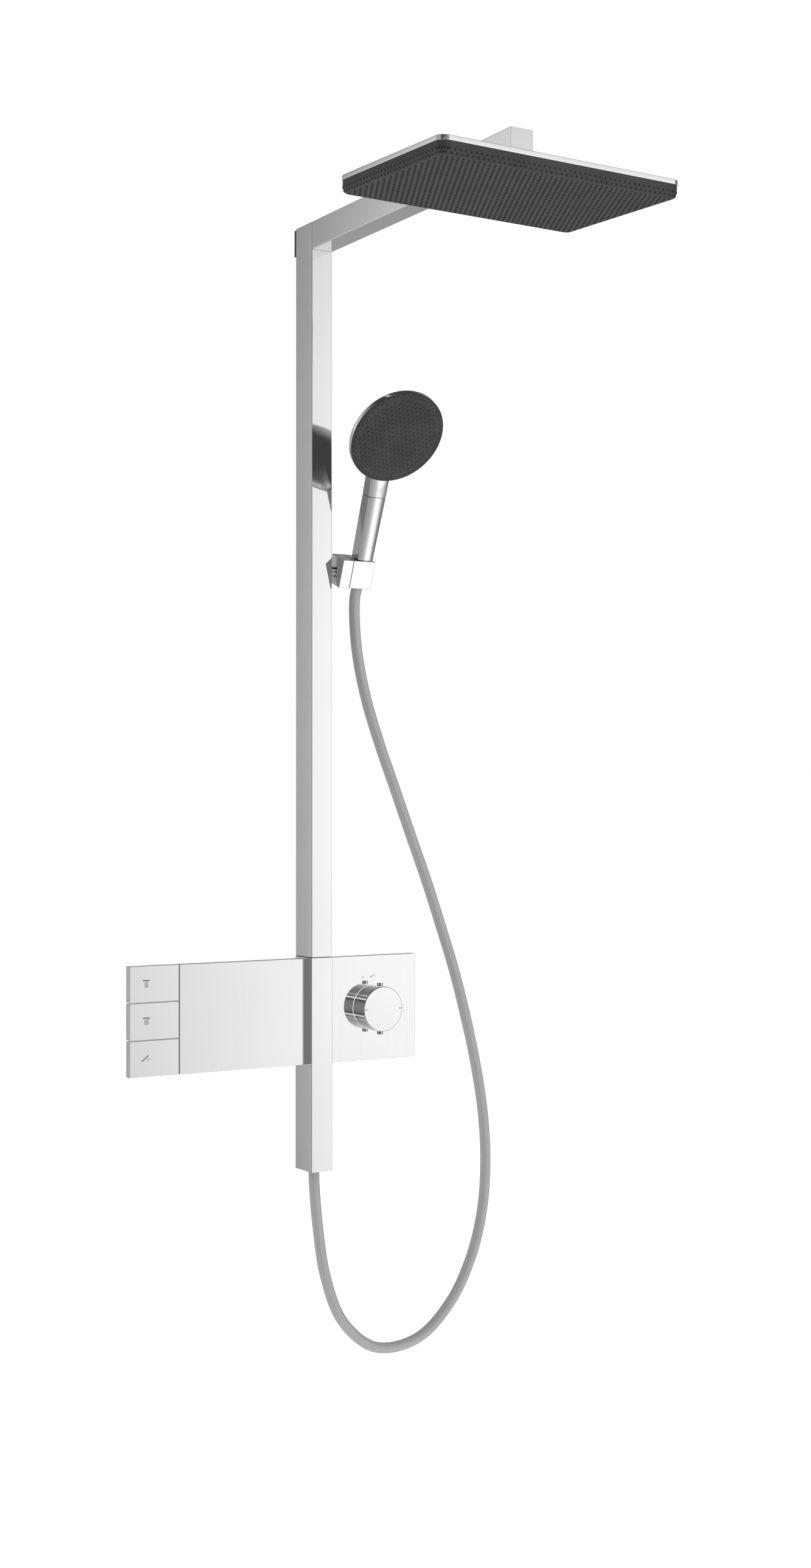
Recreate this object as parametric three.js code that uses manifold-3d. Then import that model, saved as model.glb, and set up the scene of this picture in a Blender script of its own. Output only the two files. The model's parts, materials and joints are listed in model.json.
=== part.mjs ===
// Rainfall shower column with a built-in thermostat, a tilting overhead plate, three push buttons
// and a hand shower in a tilting holder. Millimetres, +Z up, the wall is the plane Y = 0, the user
// stands on the -Y side, and X = 0 is the centreline of the column.
import * as THREE from "three";
import { mergeVertices } from "three/addons/utils/BufferGeometryUtils.js";
import Module from "manifold-3d";

const wasm = await Module();
wasm.setup();

// Column: a square-cornered hollow bar from the hose outlet to the arm.
const COLUMN_HALF_WIDTH = 17;
const COLUMN_FRONT = -55.3;
const COLUMN_BACK = -7;
const COLUMN_TOP = 1150.4;
const COLUMN_SEAM = 80.3;
const COLUMN_BOTTOM = -231.6;
const COLUMN_WALL = 2;
const LOWER_GROWTH = 0.8;
const SEAM_GAP = 1;
const EDGE_RADIUS = 1.2;
const CLEARANCE = 0.3;

// Arm: the horizontal bar that carries the overhead plate.
const ARM_BOTTOM = 1110.5;
const ARM_TIP = -564.3;
const ARM_AXIS = (ARM_BOTTOM + COLUMN_TOP) / 2;
const PIPE_RADIUS = 7.5;
const PIPE_BORE = 5.5;

// Overhead plate, hung from a ball joint under the arm.
const OVERHEAD_HALF_X = 180;
const OVERHEAD_HALF_Y = 120;
const OVERHEAD_CORNER = 13;
const OVERHEAD_Y = -537.4;
const OVERHEAD_TOP = 1094.4;
const OVERHEAD_TILT = THREE.MathUtils.degToRad(2.28);
const BAND_HEIGHT = 6.3;
const SPRAY_HEIGHT = 16;
const SPRAY_INSET = 6;
const BALL_CENTRE = 1104.5;
const BALL_RADIUS = 8;

// Control panel on the wall housing.
const PANEL_LEFT = -293.2;
const PANEL_RIGHT = 175.3;
const PANEL_HALF_HEIGHT = 77.7;
const PANEL_FRONT = -31.1;
const PANEL_BACK = -19;
const PANEL_SKIN = 2.5;
const HOUSING_INSET = 15;
const HOUSING_STEP = -15.5;
const BUTTON_RIGHT = -217.8;
const BUTTON_GAP = 1.6;
const BUTTON_PITCH = 52.6;

// Thermostat: a fixed sleeve, a flow ring, a fixed band and the temperature knob.
const KNOB_X = 83.5;
const KNOB_Z = 3.6;
const KNOB_RADIUS = 33;
const SLEEVE_RADIUS = 20;
const SPINDLE_RADIUS = 9;
const RING_BACK = -31.6;
const RING_FRONT = -57.4;
const BAND_BACK = -58.4;
const BAND_FRONT = -66.2;
const KNOB_BACK = -67.2;
const KNOB_FRONT = -90.4;
const PIN_RADIUS = 4.3;
const PIN_RISE = 4.7;

// Hand shower and its holder, both leaning towards the user.
const LEAN = THREE.MathUtils.degToRad(21.2);
const HOLDER = new THREE.Vector3(60, -61.8, 643.9);
const HOLDER_LEFT = 21.3;
const HOLDER_SPLIT = 38.8;
const HOLDER_GAP = 0.15;
const HOLDER_RIGHT = 75;
const HOLDER_TOP = 20.3;
const HOLDER_BOTTOM = -21.4;
const HOLDER_FACE = -14.5;
const HOLDER_REAR = 21.9;
const CONE_TOP_RADIUS = 11.6;
const CONE_BOTTOM_RADIUS = 9.8;
const NECK_SEAM = 115;
const HEAD_CENTRE_UP = 208.1;
const HEAD_CENTRE_OUT = -35.3;
const HEAD_PITCH = THREE.MathUtils.degToRad(17.7);
const HEAD_RADIUS = 72;
const HEAD_RIM = 9.7;

// Hose: the points its centreline runs through, from the outlet to the hand shower.
const HOSE_RADIUS = 8;
const HOSE_SIDES = 10;
const HOSE_STEPS = 66;
const HOSE_ROUTE = [
  [0, -31.1, -232.4],
  [1, -31.1, -256],
  [7, -31.1, -318],
  [20, -31.1, -392],
  [49, -31.1, -461],
  [106, -31.1, -507],
  [180, -31.1, -503],
  [238, -31.1, -457],
  [276, -31.1, -393],
  [297, -31.1, -321],
  [303, -31.1, -246],
  [298, -31.1, -171],
  [285, -31.1, -98],
  [267, -31.1, -25],
  [246, -31.1, 47],
  [221, -31.1, 118],
  [195, -31.1, 188],
  [167, -31.1, 257],
  [139, -31.1, 327],
  [111, -31.6, 396],
  [86, -33, 467],
  [68, -38, 540],
  [60.3, -46.6, 604],
  [60, -53.9, 623.4],
];

const chrome = { color: 0xd9dbdd, roughness: 0.08, metalness: 1 };
const satin = { color: 0xe4e5e6, roughness: 0.28, metalness: 0.9 };
const graphite = { color: 0x3c3c3e, roughness: 0.5, metalness: 0.1 };
const black = { color: 0x0c0c0d, roughness: 0.6, metalness: 0 };
const brass = { color: 0xb08d4f, roughness: 0.35, metalness: 1 };
const braid = { color: 0xa9aaac, roughness: 0.55, metalness: 0.3 };

const group = new THREE.Group();
group.name = "rainfall_shower_column";

function add(name, geometry, look, parent = group) {
  const mesh = new THREE.Mesh(geometry, new THREE.MeshStandardMaterial({ ...look, name }));
  mesh.name = name;
  parent.add(mesh);
  return mesh;
}

// Boolean helpers.
function solidOf(geometry) {
  const bare = geometry.clone();
  bare.deleteAttribute("normal");
  bare.deleteAttribute("uv");
  const welded = mergeVertices(bare, 1e-4);
  return new wasm.Manifold(new wasm.Mesh({
    numProp: 3,
    vertProperties: new Float32Array(welded.attributes.position.array),
    triVerts: new Uint32Array(welded.index.array),
  }));
}

function geometryOf(solid) {
  const mesh = solid.getMesh();
  const geometry = new THREE.BufferGeometry();
  geometry.setAttribute("position", new THREE.BufferAttribute(mesh.vertProperties, 3));
  geometry.setIndex(new THREE.BufferAttribute(mesh.triVerts, 1));
  geometry.computeVertexNormals();
  return geometry;
}

function cut(base, ...tools) {
  return geometryOf(tools.reduce((solid, tool) => solid.subtract(solidOf(tool)), solidOf(base)));
}

function join(base, ...others) {
  return geometryOf(others.reduce((solid, other) => solid.add(solidOf(other)), solidOf(base)));
}

// Basic shapes.
function block(x0, x1, y0, y1, z0, z1) {
  const geometry = new THREE.BoxGeometry(x1 - x0, y1 - y0, z1 - z0);
  return geometry.translate((x0 + x1) / 2, (y0 + y1) / 2, (z0 + z1) / 2);
}

function roundedOutline(x0, x1, y0, y1, radius, steps = 3) {
  const corners = [
    [x1 - radius, y1 - radius, 0],
    [x0 + radius, y1 - radius, 1],
    [x0 + radius, y0 + radius, 2],
    [x1 - radius, y0 + radius, 3],
  ];
  const points = [];
  for (const [cx, cy, quarter] of corners) {
    for (let i = 0; i <= steps; i++) {
      const angle = ((quarter + i / steps) * Math.PI) / 2;
      points.push(new THREE.Vector2(cx + radius * Math.cos(angle), cy + radius * Math.sin(angle)));
    }
  }
  return points;
}

// A bar with a rounded X-Y section between two heights.
function uprightBar(x0, x1, y0, y1, radius, z0, z1) {
  const shape = new THREE.Shape(roundedOutline(x0, x1, y0, y1, radius));
  const geometry = new THREE.ExtrudeGeometry(shape, { depth: z1 - z0, bevelEnabled: false });
  return geometry.translate(0, 0, z0);
}

// A bar with a rounded X-Z section between two depths, y0 the nearer to the user.
function levelBar(x0, x1, z0, z1, radius, y0, y1) {
  const shape = new THREE.Shape(roundedOutline(x0, x1, z0, z1, radius));
  const geometry = new THREE.ExtrudeGeometry(shape, { depth: y1 - y0, bevelEnabled: false });
  return geometry.rotateX(Math.PI / 2).translate(0, y1, 0);
}

function rodY(radius, y0, y1, x, z, sides = 48) {
  const geometry = new THREE.CylinderGeometry(radius, radius, y1 - y0, sides);
  return geometry.translate(x, (y0 + y1) / 2, z);
}

function rodZ(radius, z0, z1, x, y, sides = 48) {
  const geometry = new THREE.CylinderGeometry(radius, radius, z1 - z0, sides);
  return geometry.rotateX(Math.PI / 2).translate(x, y, (z0 + z1) / 2);
}

function rodX(radius, x0, x1, y, z, sides = 40) {
  const geometry = new THREE.CylinderGeometry(radius, radius, x1 - x0, sides);
  return geometry.rotateZ(Math.PI / 2).translate((x0 + x1) / 2, y, z);
}

// A turned piece about its own Y axis, from radius and height pairs that run upwards outside.
function turned(profile, sides = 64) {
  return new THREE.LatheGeometry(profile.map(([r, y]) => new THREE.Vector2(r, y)), sides);
}

// A closed skin over rings of equal count, with a fan at each end.
function loft(rings) {
  const count = rings[0].length;
  const positions = rings.flat().flatMap((p) => [p.x, p.y, p.z]);
  const index = [];
  for (let r = 0; r < rings.length - 1; r++) {
    for (let i = 0; i < count; i++) {
      const a = r * count + i;
      const b = r * count + ((i + 1) % count);
      index.push(a, b, b + count, a, b + count, a + count);
    }
  }
  const last = (rings.length - 1) * count;
  for (let i = 1; i < count - 1; i++) {
    index.push(0, i + 1, i);
    index.push(last, last + i, last + i + 1);
  }
  const geometry = new THREE.BufferGeometry();
  geometry.setAttribute("position", new THREE.Float32BufferAttribute(positions, 3));
  geometry.setIndex(index);
  geometry.computeVertexNormals();
  return geometry;
}

// Column.
const hollow = COLUMN_HALF_WIDTH - COLUMN_WALL;
const armHole = rodY(10, COLUMN_FRONT - 5, COLUMN_FRONT + 5, 0, ARM_AXIS);
const studHole = rodX(4.3, 10, 20, -44, HOLDER.z);
add("column_tube", cut(
  uprightBar(-COLUMN_HALF_WIDTH, COLUMN_HALF_WIDTH, COLUMN_FRONT, COLUMN_BACK, EDGE_RADIUS,
    COLUMN_SEAM + SEAM_GAP / 2, COLUMN_TOP),
  block(-hollow, hollow, COLUMN_FRONT + COLUMN_WALL, COLUMN_BACK - COLUMN_WALL,
    COLUMN_SEAM - 5, COLUMN_TOP - COLUMN_WALL),
  armHole,
  studHole,
), chrome);

const lowerHalf = COLUMN_HALF_WIDTH + LOWER_GROWTH;
const lowerFront = COLUMN_FRONT - LOWER_GROWTH;
const outletY = (COLUMN_FRONT + COLUMN_BACK) / 2;
add("column_lower_housing", cut(
  uprightBar(-lowerHalf, lowerHalf, lowerFront, COLUMN_BACK, EDGE_RADIUS,
    COLUMN_BOTTOM, COLUMN_SEAM - SEAM_GAP / 2),
  block(-lowerHalf + COLUMN_WALL, lowerHalf - COLUMN_WALL, lowerFront + COLUMN_WALL,
    COLUMN_BACK - COLUMN_WALL, COLUMN_BOTTOM + 4, COLUMN_SEAM + 5),
  rodZ(9.3, COLUMN_BOTTOM - 5, COLUMN_BOTTOM + 9, 0, outletY),
), chrome);

add("riser_pipe", cut(
  rodZ(PIPE_RADIUS, -40, ARM_AXIS - PIPE_RADIUS - CLEARANCE, 0, -30, 24),
  rodZ(PIPE_BORE, -45, ARM_AXIS + 5, 0, -30, 24),
), brass);

// Arm.
add("arm_tube", cut(
  levelBar(-COLUMN_HALF_WIDTH, COLUMN_HALF_WIDTH, ARM_BOTTOM, COLUMN_TOP, EDGE_RADIUS,
    ARM_TIP, COLUMN_FRONT - SEAM_GAP),
  block(-hollow, hollow, ARM_TIP + 3, COLUMN_FRONT + 5, ARM_BOTTOM + COLUMN_WALL,
    COLUMN_TOP - COLUMN_WALL),
  rodZ(10.5, ARM_BOTTOM - 5, ARM_BOTTOM + 5, 0, OVERHEAD_Y),
), chrome);

add("arm_joint_ring", cut(
  levelBar(-16, 16, ARM_BOTTOM + 1, COLUMN_TOP - 1, EDGE_RADIUS,
    COLUMN_FRONT - SEAM_GAP + 0.1, COLUMN_FRONT - 0.1),
  rodY(10, COLUMN_FRONT - 5, COLUMN_FRONT + 5, 0, ARM_AXIS),
), black);

add("arm_pipe", cut(
  rodY(PIPE_RADIUS, OVERHEAD_Y + 14, -22, 0, ARM_AXIS, 24),
  rodY(PIPE_BORE, OVERHEAD_Y, -10, 0, ARM_AXIS, 24),
), brass);

add("wall_bracket_top", block(-15.6, 15.6, COLUMN_BACK + CLEARANCE, 0, 1110.7, 1149.5), black);

// Wall housing behind the panel, with a channel for the column.
const housingLeft = PANEL_LEFT + HOUSING_INSET;
const housingRight = PANEL_RIGHT - HOUSING_INSET;
const housingHalf = PANEL_HALF_HEIGHT - HOUSING_INSET;
const padFront = PANEL_BACK + CLEARANCE;
const channel = lowerHalf + CLEARANCE;
add("wall_housing", cut(
  join(
    block(housingLeft, housingRight, HOUSING_STEP, 0, -housingHalf, housingHalf),
    block(BUTTON_RIGHT + 4, housingRight, padFront, HOUSING_STEP + 1, -housingHalf, housingHalf),
  ),
  block(-channel, channel, padFront - 1, COLUMN_BACK + CLEARANCE, -housingHalf - 1, housingHalf + 1),
), black);

function tray(x0, x1, z0, z1, depth) {
  return cut(
    levelBar(x0, x1, z0, z1, EDGE_RADIUS, PANEL_FRONT, PANEL_BACK),
    block(x0 + PANEL_SKIN, x1 - PANEL_SKIN, PANEL_FRONT + depth, PANEL_BACK + 1,
      z0 + PANEL_SKIN, z1 - PANEL_SKIN),
  );
}

add("panel_left", tray(BUTTON_RIGHT + BUTTON_GAP, -channel, -PANEL_HALF_HEIGHT,
  PANEL_HALF_HEIGHT, PANEL_SKIN), satin);
add("panel_right", cut(
  tray(channel, PANEL_RIGHT, -PANEL_HALF_HEIGHT, PANEL_HALF_HEIGHT, PANEL_SKIN),
  rodY(SLEEVE_RADIUS + CLEARANCE, PANEL_FRONT - 5, PANEL_FRONT + 5, KNOB_X, KNOB_Z, 64),
), satin);

// Three push buttons, each a shallow cap with a stem in its own cartridge.
const buttonX = (PANEL_LEFT + BUTTON_RIGHT) / 2;
const buttonNames = ["top", "middle", "bottom"];
buttonNames.forEach((name, row) => {
  const top = row === 0 ? PANEL_HALF_HEIGHT : (1.5 - row) * BUTTON_PITCH - BUTTON_GAP / 2;
  const bottom = row === 2 ? -PANEL_HALF_HEIGHT : (0.5 - row) * BUTTON_PITCH + BUTTON_GAP / 2;
  const middle = (1 - row) * BUTTON_PITCH;
  add(`button_${name}`, join(
    tray(PANEL_LEFT, BUTTON_RIGHT, bottom, top, PANEL_SKIN),
    rodY(4.5, PANEL_FRONT + 1, -22, buttonX, middle, 32),
  ), satin);
  add(`button_cartridge_${name}`, cut(
    rodY(13, -26, HOUSING_STEP - CLEARANCE, buttonX, middle),
    rodY(4.8, -27, HOUSING_STEP - 2, buttonX, middle, 32),
  ), black);
});

// Thermostat, turned about the Y direction through the knob's centre.
const knobGroup = new THREE.Group();
knobGroup.position.set(KNOB_X, 0, KNOB_Z);
group.add(knobGroup);

add("thermostat_sleeve", turned([
  [0, KNOB_FRONT + 5.9],
  [SPINDLE_RADIUS, KNOB_FRONT + 5.9],
  [SPINDLE_RADIUS, BAND_FRONT - 0.1],
  [SLEEVE_RADIUS, BAND_FRONT - 0.1],
  [SLEEVE_RADIUS, padFront - CLEARANCE],
  [0, padFront - CLEARANCE],
]), brass, knobGroup);

function ringProfile(front, back, hub, wall, web) {
  return [
    [hub, front],
    [KNOB_RADIUS - 0.5, front],
    [KNOB_RADIUS, front + 0.5],
    [KNOB_RADIUS, back],
    [KNOB_RADIUS - wall, back],
    [KNOB_RADIUS - wall, front + web],
    [hub + wall, front + web],
    [hub + wall, back],
    [hub, back],
    [hub, front],
  ];
}

add("flow_ring", turned(
  ringProfile(RING_FRONT, RING_BACK, SLEEVE_RADIUS + CLEARANCE, 3.2, 3),
), chrome, knobGroup);

add("thermostat_band", turned([
  [SLEEVE_RADIUS + CLEARANCE, BAND_FRONT],
  [KNOB_RADIUS - 0.8, BAND_FRONT],
  [KNOB_RADIUS - 0.3, BAND_FRONT + 0.5],
  [KNOB_RADIUS - 0.3, BAND_BACK - 0.5],
  [KNOB_RADIUS - 0.8, BAND_BACK],
  [SLEEVE_RADIUS + CLEARANCE, BAND_BACK],
  [SLEEVE_RADIUS + CLEARANCE, BAND_FRONT],
]), chrome, knobGroup);

add("temperature_knob", turned([
  [0, KNOB_FRONT],
  [KNOB_RADIUS - 0.7, KNOB_FRONT],
  [KNOB_RADIUS, KNOB_FRONT + 0.7],
  [KNOB_RADIUS, KNOB_BACK],
  [KNOB_RADIUS - 3.2, KNOB_BACK],
  [KNOB_RADIUS - 3.2, KNOB_FRONT + 3.5],
  [SPINDLE_RADIUS + 3.5, KNOB_FRONT + 3.5],
  [SPINDLE_RADIUS + 3.5, KNOB_BACK - 0.6],
  [SPINDLE_RADIUS + CLEARANCE, KNOB_BACK - 0.6],
  [SPINDLE_RADIUS + CLEARANCE, KNOB_FRONT + 5.5],
  [0, KNOB_FRONT + 5.5],
]), chrome, knobGroup);

for (const [owner, depth] of [["flow", -37.9], ["knob", -80.8]]) {
  for (const [place, sign] of [["top", 1], ["bottom", -1]]) {
    const foot = KNOB_RADIUS + 0.02;
    const pin = new THREE.CylinderGeometry(PIN_RADIUS, PIN_RADIUS, PIN_RISE + 1.4, 32);
    pin.rotateX(Math.PI / 2).translate(0, depth, sign * (foot + (PIN_RISE - 1.4) / 2));
    const drum = rodY(foot, depth - 8, depth + 8, 0, 0, 64);
    add(`${owner}_pin_${place}`, cut(pin, drum), chrome, knobGroup);
  }
}

// Ball joint and overhead plate.
add("ball_socket", cut(
  rodZ(17, 1099.5, ARM_BOTTOM - CLEARANCE, 0, OVERHEAD_Y),
  new THREE.SphereGeometry(9.9, 48, 24).translate(0, OVERHEAD_Y, BALL_CENTRE),
), chrome);

const bush = [];
for (let i = 0; i <= 6; i++) {
  const angle = THREE.MathUtils.degToRad(-20 + (40 * i) / 6);
  bush.push([9.7 * Math.cos(angle), 9.7 * Math.sin(angle)]);
}
for (let i = 6; i >= 0; i--) {
  const angle = THREE.MathUtils.degToRad(-20 + (40 * i) / 6);
  bush.push([8.2 * Math.cos(angle), 8.2 * Math.sin(angle)]);
}
bush.push(bush[0]);
add("ball_bush", turned(bush, 48).rotateX(Math.PI / 2).translate(0, OVERHEAD_Y, BALL_CENTRE), black);

const plateGroup = new THREE.Group();
plateGroup.position.set(0, OVERHEAD_Y, BALL_CENTRE);
plateGroup.rotation.x = OVERHEAD_TILT;
group.add(plateGroup);
const plateTop = OVERHEAD_TOP - BALL_CENTRE;
const bandBottom = plateTop - BAND_HEIGHT;

add("ball_stud", join(
  new THREE.SphereGeometry(BALL_RADIUS, 40, 20),
  rodZ(5, plateTop + CLEARANCE, -4, 0, 0, 32),
), chrome, plateGroup);
add("ball_collar", cut(
  rodZ(13, plateTop + 0.05, plateTop + 2, 0, 0),
  rodZ(5.3, plateTop - 2, plateTop + 4, 0, 0, 32),
), chrome, plateGroup);

function plateRing(inset, z) {
  const corner = Math.max(OVERHEAD_CORNER - inset, 3);
  const outline = roundedOutline(-OVERHEAD_HALF_X + inset, OVERHEAD_HALF_X - inset,
    -OVERHEAD_HALF_Y + inset, OVERHEAD_HALF_Y - inset, corner, 8);
  return outline.map((p) => new THREE.Vector3(p.x, p.y, z));
}

add("overhead_top", cut(
  loft([
    plateRing(0.6, bandBottom),
    plateRing(0, bandBottom + 0.6),
    plateRing(0, plateTop - 0.8),
    plateRing(0.8, plateTop),
  ]),
  loft([plateRing(3, bandBottom - 1), plateRing(3, plateTop - 1.6)]),
), chrome, plateGroup);

const sprayTop = bandBottom - 0.05;
const sprayRings = [];
for (let i = 0; i <= 6; i++) {
  const angle = (i / 6) * (Math.PI / 2);
  sprayRings.push(plateRing(
    0.6 + SPRAY_INSET * (1 - Math.sin(angle)),
    sprayTop - SPRAY_HEIGHT + 9 * (1 - Math.cos(angle)),
  ));
}
sprayRings.push(plateRing(0.6, sprayTop));
add("overhead_spray_face", cut(
  loft(sprayRings),
  loft([plateRing(12, sprayTop - SPRAY_HEIGHT + 4), plateRing(12, sprayTop + 1)]),
), graphite, plateGroup);

// Holder: a fixed half on a stud in the column and a tilting half that seats the hand shower.
const holderGroup = new THREE.Group();
holderGroup.position.copy(HOLDER);
holderGroup.rotation.x = LEAN;
group.add(holderGroup);

add("holder_stud", rodX(4, 12, 35, -44, HOLDER.z), brass);

function leaning(geometry) {
  return geometry.rotateX(LEAN).translate(HOLDER.x, HOLDER.y, HOLDER.z);
}

const baseShift = -HOLDER.x;
add("holder_base", cut(
  join(
    leaning(levelBar(HOLDER_LEFT + baseShift, HOLDER_SPLIT - HOLDER_GAP + baseShift,
      HOLDER_BOTTOM, HOLDER_TOP, 1, HOLDER_FACE, HOLDER_REAR)),
    rodX(8, COLUMN_HALF_WIDTH + CLEARANCE, HOLDER_LEFT + 2, -44, HOLDER.z),
  ),
  rodX(4.3, 10, 35.3, -44, HOLDER.z),
), chrome);

function coneProfile(gap, low, high) {
  const slope = (CONE_TOP_RADIUS - CONE_BOTTOM_RADIUS) / (HOLDER_TOP - HOLDER_BOTTOM);
  const radiusAt = (z) => CONE_BOTTOM_RADIUS + slope * (z - HOLDER_BOTTOM) + gap;
  return turned([[0, low], [radiusAt(low), low], [radiusAt(high), high], [0, high]], 48)
    .rotateX(Math.PI / 2);
}

add("holder_clamp", cut(
  levelBar(HOLDER_SPLIT + HOLDER_GAP + baseShift, HOLDER_RIGHT + baseShift,
    HOLDER_BOTTOM, HOLDER_TOP, 1, HOLDER_FACE, HOLDER_REAR),
  coneProfile(CLEARANCE, HOLDER_BOTTOM - 2, HOLDER_TOP + 2),
  block(-8.6, 8.6, 0, HOLDER_REAR + 1, HOLDER_BOTTOM - 1, HOLDER_TOP + 1),
), chrome, holderGroup);

// Hand shower: a cone in the holder, a handle of rounded D section, and a round head.
add("handset_cone", coneProfile(0, HOLDER_BOTTOM + 0.3, HOLDER_TOP + 0.1), chrome, holderGroup);

function handleRing(z, frontHalf, backHalf, front, back, shift = 0) {
  const points = [];
  const steps = 8;
  for (let i = 0; i <= steps; i++) {
    const t = -1 + (2 * i) / steps;
    points.push(new THREE.Vector3(frontHalf * t, front - 2.6 * (1 - t * t) + shift, z));
  }
  for (let i = 0; i <= steps; i++) {
    const t = 1 - (2 * i) / steps;
    points.push(new THREE.Vector3(backHalf * t, back + 3.4 * (1 - t * t) + shift, z));
  }
  return points;
}

const handleLow = HOLDER_TOP + 0.4;
add("handset_handle", cut(
  loft([
    handleRing(handleLow, 12.4, 14.4, -9, 7),
    handleRing(NECK_SEAM - 0.3, 14.4, 15.6, -8.6, 7.2),
  ]),
  loft([
    handleRing(handleLow + 4, 9.4, 11.4, -6.6, 4.6),
    handleRing(NECK_SEAM + 1, 11.4, 12.6, -6.2, 4.8),
  ]),
), chrome, holderGroup);

function headPlaced(geometry) {
  return geometry.rotateX(HEAD_PITCH).translate(0, HEAD_CENTRE_OUT, HEAD_CENTRE_UP);
}

const neck = loft([
  handleRing(NECK_SEAM + 0.3, 14.4, 15.6, -8.6, 7.2),
  handleRing(138, 15.2, 16, -7.6, 7.4),
  handleRing(160, 16.4, 16.8, -10, 5.2),
  handleRing(186, 15, 15, -18, -4),
]);
const shell = headPlaced(turned([
  [0, 3],
  [HEAD_RADIUS - 0.4, 3],
  [HEAD_RADIUS, 3.6],
  [HEAD_RADIUS, HEAD_RIM],
  [HEAD_RADIUS - 1.5, HEAD_RIM + 1.6],
  [HEAD_RADIUS - 10, HEAD_RIM + 4.4],
  [HEAD_RADIUS - 28, HEAD_RIM + 9.5],
  [HEAD_RADIUS - 48, HEAD_RIM + 13],
  [0, HEAD_RIM + 14.5],
]));
const chamber = headPlaced(turned([
  [0, 2],
  [HEAD_RADIUS - 2.5, 2],
  [HEAD_RADIUS - 2.5, HEAD_RIM - 0.5],
  [HEAD_RADIUS - 11, HEAD_RIM + 2.2],
  [HEAD_RADIUS - 29, HEAD_RIM + 7.3],
  [HEAD_RADIUS - 49, HEAD_RIM + 10.8],
  [0, HEAD_RIM + 12.3],
]));
const neckDuct = loft([
  handleRing(NECK_SEAM - 1, 11.9, 13.1, -6.2, 4.8),
  handleRing(138, 12.7, 13.5, -5.2, 5),
  handleRing(160, 13.9, 14.3, -7.5, 2.8),
  handleRing(176, 13, 13, -14, -3),
]);
add("handset_head_shell", cut(join(shell, neck), chamber, neckDuct), chrome, holderGroup);

add("handset_spray_face", headPlaced(turned([
  [0, 0],
  [HEAD_RADIUS - 2.2, 0],
  [HEAD_RADIUS - 0.6, 0.7],
  [HEAD_RADIUS, 2.2],
  [HEAD_RADIUS - 0.4, 2.95],
  [0, 2.95],
])), graphite, holderGroup);

// Hose and its outlet.
add("hose_outlet", cut(
  rodZ(9, COLUMN_BOTTOM + 0.1, COLUMN_BOTTOM + 16, 0, outletY),
  rodZ(5, COLUMN_BOTTOM - 5, COLUMN_BOTTOM + 20, 0, outletY, 32),
), chrome);

const hosePoints = HOSE_ROUTE.map(([x, y, z]) => new THREE.Vector3(x, y, z));
const hoseCurve = new THREE.CatmullRomCurve3(hosePoints, false, "centripetal");
const hoseSection = new THREE.Shape();
hoseSection.absarc(0, 0, HOSE_RADIUS, 0, Math.PI * 2, false);
add("hose", new THREE.ExtrudeGeometry(hoseSection, {
  curveSegments: HOSE_SIDES,
  steps: HOSE_STEPS,
  extrudePath: hoseCurve,
  bevelEnabled: false,
}), braid);

export default group;
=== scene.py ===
"""Rainfall shower column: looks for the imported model."""

import json
import math

import bmesh
import bpy
from mathutils import Matrix, Vector


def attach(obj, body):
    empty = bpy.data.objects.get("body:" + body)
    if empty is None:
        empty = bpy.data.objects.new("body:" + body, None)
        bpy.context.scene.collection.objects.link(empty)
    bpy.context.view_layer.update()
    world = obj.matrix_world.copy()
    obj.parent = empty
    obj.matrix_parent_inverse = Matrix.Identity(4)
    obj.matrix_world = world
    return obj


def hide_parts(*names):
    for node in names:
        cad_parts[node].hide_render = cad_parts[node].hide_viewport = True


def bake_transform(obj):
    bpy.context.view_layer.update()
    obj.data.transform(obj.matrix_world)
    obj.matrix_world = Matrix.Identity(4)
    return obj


bl_info = {
    "name": "Rainfall shower column",
    "version": (1, 0, 0),
    "blender": (4, 5, 0),
    "location": "View3D > Sidebar > Shower column",
    "description": "Builds the visible pieces of a rainfall shower column around its packed model",
    "category": "Add Mesh",
}

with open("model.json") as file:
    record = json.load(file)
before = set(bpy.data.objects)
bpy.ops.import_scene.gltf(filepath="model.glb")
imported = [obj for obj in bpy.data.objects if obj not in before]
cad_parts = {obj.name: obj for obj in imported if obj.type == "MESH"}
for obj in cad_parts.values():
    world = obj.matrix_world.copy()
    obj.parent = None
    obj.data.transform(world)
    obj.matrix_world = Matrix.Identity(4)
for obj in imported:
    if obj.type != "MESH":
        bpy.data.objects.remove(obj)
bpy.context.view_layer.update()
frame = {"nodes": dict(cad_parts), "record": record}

MM = 0.001
COLUMN_HALF = 17
COLUMN_FRONT = -55.3
COLUMN_BACK = -7
COLUMN_TOP = 1150.4
COLUMN_SEAM = 80.3
COLUMN_BOTTOM = -231.6
LOWER_GROWTH = 0.8
ARM_BOTTOM = 1110.5
ARM_TIP = -564.3
PANEL_LEFT = -293.2
PANEL_RIGHT = 175.3
PANEL_HALF_HEIGHT = 77.7
PANEL_FRONT = -31.1
PANEL_BACK = -19
PANEL_IN_FOOT = 4
HOUSING_INSET = 15
HOUSING_STEP = -15.5
BUTTON_RIGHT = -217.8
BUTTON_GAP = 1.3
BUTTON_PITCH = 52.6
KNOB_X = 83.5
KNOB_Z = 3.6
KNOB_RADIUS = 33
SPINDLE = 9
SLEEVE = 20
HUB = 20.3
RING_FRONT = -57.4
RING_BACK = -31.6
BAND_FRONT = -66.2
BAND_BACK = -58.4
CAP_FRONT = -90.4
CAP_BACK = -67.2
PIN_RADIUS = 4.3
PIN_RISE = 4.7
PLATE_HALF_X = 180
PLATE_HALF_Y = 120
PLATE_CORNER = 13
PLATE_TOP = -10.1
BAND_HEIGHT = 6.3
SPRAY_HEIGHT = 16
SPRAY_INSET = 6
SPRAY_ROUND = 9
HOLDER_LEFT = 21.3
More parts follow.
